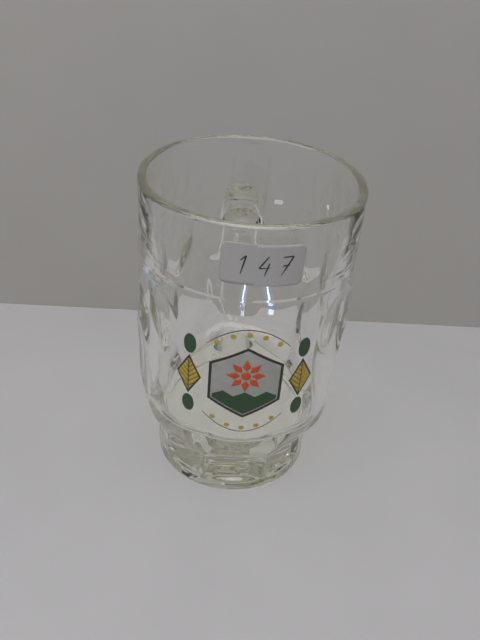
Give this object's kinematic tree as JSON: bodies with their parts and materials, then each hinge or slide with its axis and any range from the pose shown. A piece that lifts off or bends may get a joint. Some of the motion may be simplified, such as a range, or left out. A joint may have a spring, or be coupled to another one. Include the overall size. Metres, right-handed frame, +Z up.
{
  "type": "beer mug",
  "caption": "Clear pressed-glass beer mug with a smooth rim band, thumb-print hollows, faceted foot, ear handle, enamel print and paper label.",
  "frame": {"origin": "centre of the flat underside of the foot, on the cup's axis", "axes": "+Z up along the cup's axis, -Y out of the printed front, +Y towards the handle, +X to the right seen from the front"},
  "size_m": [0.0818, 0.1172, 0.125],
  "materials": {
    "clear_glass": "fire-polished, faint olive tint",
    "black_enamel": "fired enamel, satin gloss",
    "white_enamel": "fired enamel, thin, satin gloss",
    "orange_enamel": "fired enamel, satin gloss",
    "green_enamel": "fired enamel, satin gloss",
    "gold_enamel": "fired yellow enamel, satin gloss",
    "grey_paper": "uncoated sticker paper, slightly aged"
  },
  "bodies": {
    "root": {"glass_body": "clear_glass", "glass_handle": "clear_glass", "paper_label": "grey_paper", "print_panel_outline": "black_enamel", "print_panel_ground": "white_enamel", "print_rosette": "orange_enamel", "print_green_field": "green_enamel", "print_lozenge_left": "black_enamel", "print_lozenge_right": "black_enamel", "print_gold_left": "gold_enamel", "print_gold_right": "gold_enamel", "print_leaf_top_left": "green_enamel", "print_leaf_top_right": "green_enamel", "print_leaf_low_left": "green_enamel", "print_leaf_low_right": "green_enamel"}
  },
  "joints": []
}
